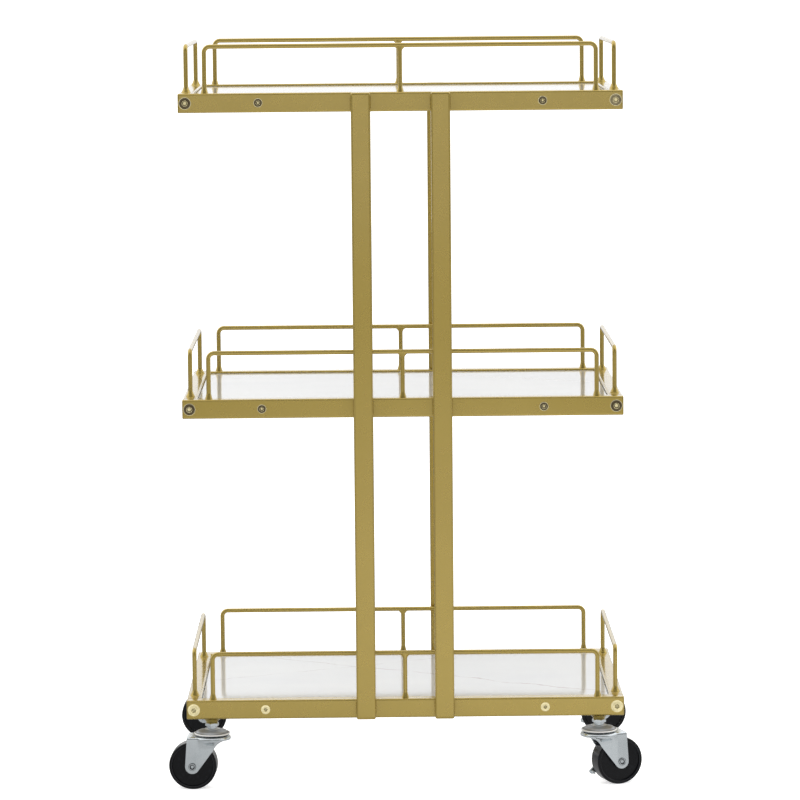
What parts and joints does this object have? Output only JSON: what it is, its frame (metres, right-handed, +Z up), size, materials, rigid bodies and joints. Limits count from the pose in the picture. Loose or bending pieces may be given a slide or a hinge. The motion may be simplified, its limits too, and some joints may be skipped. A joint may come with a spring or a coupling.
{
  "type": "bar cart on casters",
  "caption": "Tiered bar cart: slim metal frame with wire guard rails, glossy drop-in shelf panels and swivel casters, some with a side brake.",
  "frame": {"origin": "on the floor under the middle of the cart", "axes": "+X along the shelves towards the end with the brakes, +Y from the front side to the rear side, +Z up"},
  "size_m": [0.4956, 0.309, 0.776],
  "materials": {
    "gold_paint": "satin metallic gold paint",
    "marble_panel": "glossy opaque white with faint grey veins",
    "yellow_zinc": "bright yellow plated",
    "bright_zinc": "bright zinc plated",
    "dark_steel": "polished grey steel",
    "black_wheel": "moulded black plastic, low gloss"
  },
  "bodies": {
    "frame": {"front_left_upright": "gold_paint", "front_right_upright": "gold_paint", "rear_left_upright": "gold_paint", "rear_right_upright": "gold_paint", "upright_end_caps": "gold_paint", "bottom_front_beam": "gold_paint", "bottom_rear_beam": "gold_paint", "middle_front_beam": "gold_paint", "middle_rear_beam": "gold_paint", "top_front_beam": "gold_paint", "top_rear_beam": "gold_paint", "beam_end_caps": "gold_paint", "bottom_left_end_beam": "gold_paint", "bottom_right_end_beam": "gold_paint", "middle_left_end_beam": "gold_paint", "middle_right_end_beam": "gold_paint", "top_left_end_beam": "gold_paint", "top_right_end_beam": "gold_paint", "end_beam_inserts": "bright_zinc", "bottom_front_guard_rail": "gold_paint", "bottom_rear_guard_rail": "gold_paint", "middle_front_guard_rail": "gold_paint", "middle_rear_guard_rail": "gold_paint", "top_front_guard_rail": "gold_paint", "top_rear_guard_rail": "gold_paint", "guard_rail_posts": "gold_paint", "bottom_left_end_rail": "gold_paint", "bottom_right_end_rail": "gold_paint", "middle_left_end_rail": "gold_paint", "middle_right_end_rail": "gold_paint", "top_left_end_rail": "gold_paint", "top_right_end_rail": "gold_paint", "bottom_panel": "marble_panel", "middle_panel": "marble_panel", "top_panel": "marble_panel", "bottom_support_bars": "gold_paint", "middle_support_bars": "gold_paint", "top_support_bars": "gold_paint", "corner_bolts": "yellow_zinc", "support_bolts": "yellow_zinc", "caster_inserts": "gold_paint", "caster_studs": "bright_zinc", "caster_nuts": "bright_zinc", "swivel_caps": "dark_steel", "swivel_bearings": "bright_zinc"},
    "front_left_swivel": {"front_left_fork": "bright_zinc", "front_left_axle": "bright_zinc"},
    "front_left_wheel": {"front_left_wheel": "black_wheel"},
    "front_right_swivel": {"front_right_fork": "bright_zinc", "front_right_axle": "bright_zinc"},
    "front_right_wheel": {"front_right_wheel": "black_wheel"},
    "front_right_brake": {"front_right_brake_lever": "bright_zinc"},
    "rear_left_swivel": {"rear_left_fork": "bright_zinc", "rear_left_axle": "bright_zinc"},
    "rear_left_wheel": {"rear_left_wheel": "black_wheel"},
    "rear_right_swivel": {"rear_right_fork": "bright_zinc", "rear_right_axle": "bright_zinc"},
    "rear_right_wheel": {"rear_right_wheel": "black_wheel"},
    "rear_right_brake": {"rear_right_brake_lever": "bright_zinc"}
  },
  "joints": [
    {"name": "front_left_swivel_turn", "type": "hinge", "parent": "frame", "child": "front_left_swivel", "pos_m": [-0.2025, -0.135, 0.0548], "axis": [0, 0, 1], "continuous": true},
    {"name": "front_left_wheel_roll", "type": "hinge", "parent": "front_left_swivel", "child": "front_left_wheel", "pos_m": [-0.22247, -0.13395, 0.025], "axis": [-0.0523, -0.9986, 0], "continuous": true},
    {"name": "front_right_swivel_turn", "type": "hinge", "parent": "frame", "child": "front_right_swivel", "pos_m": [0.2025, -0.135, 0.0548], "axis": [0, 0, 1], "continuous": true},
    {"name": "front_right_wheel_roll", "type": "hinge", "parent": "front_right_swivel", "child": "front_right_wheel", "pos_m": [0.22141, -0.12849, 0.025], "axis": [-0.3256, 0.9455, 0], "continuous": true},
    {"name": "front_right_brake_lift", "type": "hinge", "parent": "front_right_swivel", "child": "front_right_brake", "pos_m": [0.22141, -0.12849, 0.025], "axis": [-0.3256, 0.9455, 0], "range_deg": [0, 30]},
    {"name": "rear_left_swivel_turn", "type": "hinge", "parent": "frame", "child": "rear_left_swivel", "pos_m": [-0.2025, 0.135, 0.0548], "axis": [0, 0, 1], "continuous": true},
    {"name": "rear_left_wheel_roll", "type": "hinge", "parent": "rear_left_swivel", "child": "rear_left_wheel", "pos_m": [-0.2225, 0.135, 0.025], "axis": [0, -1, 0], "continuous": true},
    {"name": "rear_right_swivel_turn", "type": "hinge", "parent": "frame", "child": "rear_right_swivel", "pos_m": [0.2025, 0.135, 0.0548], "axis": [0, 0, 1], "continuous": true},
    {"name": "rear_right_wheel_roll", "type": "hinge", "parent": "rear_right_swivel", "child": "rear_right_wheel", "pos_m": [0.2225, 0.135, 0.025], "axis": [0, 1, 0], "continuous": true},
    {"name": "rear_right_brake_lift", "type": "hinge", "parent": "rear_right_swivel", "child": "rear_right_brake", "pos_m": [0.2225, 0.135, 0.025], "axis": [0, 1, 0], "range_deg": [0, 30]}
  ]
}
